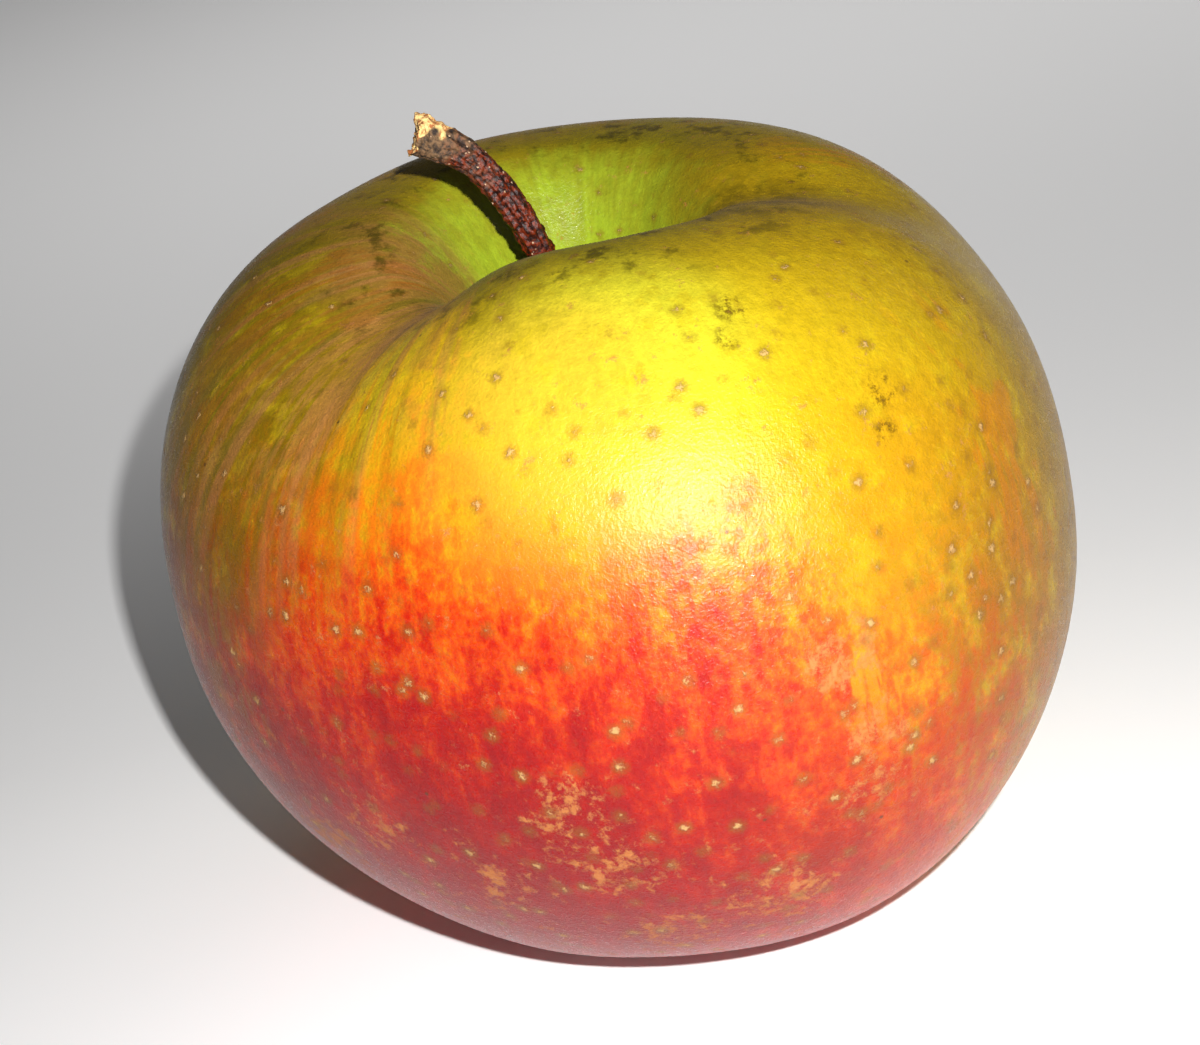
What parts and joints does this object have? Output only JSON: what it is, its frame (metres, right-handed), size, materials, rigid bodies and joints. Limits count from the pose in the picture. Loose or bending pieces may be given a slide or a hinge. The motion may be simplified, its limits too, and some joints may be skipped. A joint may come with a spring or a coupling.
{
  "type": "apple",
  "caption": "Whole ripe apple, squat and slightly ribbed, with a bent woody stem in a deep cavity and a dried calyx in the basin underneath.",
  "frame": {"origin": "middle of the footprint, on the surface the apple stands on", "axes": "+Z along the apple's own axis, from the calyx end up to the stem end; the stem's tip bends over towards -X"},
  "size_m": [0.0794, 0.081, 0.0754],
  "materials": {
    "apple_skin": "waxy satin apple skin, yellow to olive at the stem end, flushed orange and crimson below, with pale corky lenticels and tan russet patches",
    "stem_bark": "dark red-brown woody stem, warty and slightly glossy, with a pale torn tip",
    "dried_calyx": "matt, withered brown-grey sepals",
    "dried_stamens": "matt, dark brown withered stamens"
  },
  "bodies": {
    "root": {"fruit": "apple_skin", "stem": "stem_bark", "sepal_1": "dried_calyx", "sepal_2": "dried_calyx", "sepal_3": "dried_calyx", "sepal_4": "dried_calyx", "sepal_5": "dried_calyx", "stamen_tuft": "dried_stamens"}
  },
  "joints": []
}
